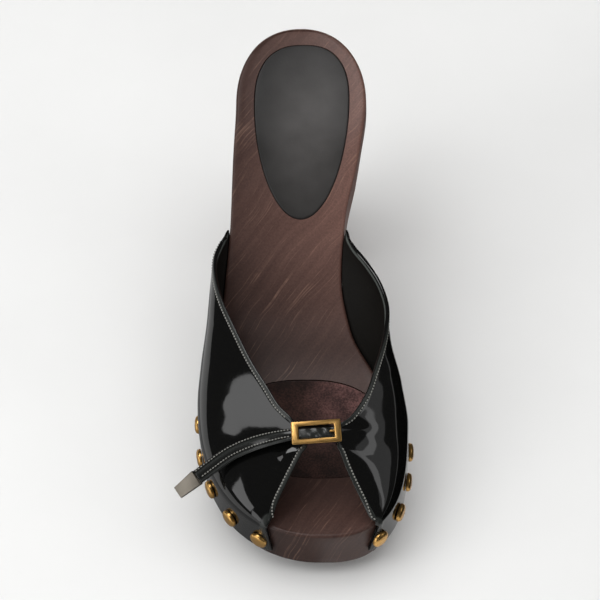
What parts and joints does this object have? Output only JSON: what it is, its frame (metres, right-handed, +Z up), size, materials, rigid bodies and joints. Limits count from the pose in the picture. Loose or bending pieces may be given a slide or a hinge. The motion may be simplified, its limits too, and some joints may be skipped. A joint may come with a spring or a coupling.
{
  "type": "heeled clog",
  "caption": "Right-foot high-heeled clog: carved wooden platform sole, glossy black open-toe upper with a buckled strap, nailed to the wood with domed gold studs.",
  "frame": {"origin": "on the floor under the ball of the foot, on the flat forefoot tread", "axes": "+Z up, -Y towards the toe, +Y towards the heel, +X towards the inner (big toe) side"},
  "size_m": [0.1047, 0.2197, 0.112],
  "materials": {
    "lacquered_wood": "satin lacquer, dark reddish brown",
    "patent_leather": "high gloss patent, black",
    "heel_leather": "satin charcoal",
    "suede": "matt dark brown suede",
    "gold_metal": "satin gold plated",
    "silver_metal": "satin silver plated"
  },
  "bodies": {
    "root": {"wooden_sole": "lacquered_wood", "upper": "patent_leather", "heel_pad": "heel_leather", "ball_pad": "suede", "strap": "patent_leather", "strap_tip": "silver_metal", "buckle": "gold_metal", "stud_outer_1": "gold_metal", "stud_outer_2": "gold_metal", "stud_outer_3": "gold_metal", "stud_outer_4": "gold_metal", "stud_outer_5": "gold_metal", "stud_outer_6": "gold_metal", "stud_outer_7": "gold_metal", "stud_outer_8": "gold_metal", "stud_outer_9": "gold_metal", "stud_inner_1": "gold_metal", "stud_inner_2": "gold_metal", "stud_inner_3": "gold_metal", "stud_inner_4": "gold_metal", "stud_inner_5": "gold_metal", "stud_inner_6": "gold_metal", "stud_inner_7": "gold_metal", "stud_inner_8": "gold_metal", "stud_inner_9": "gold_metal"}
  },
  "joints": []
}
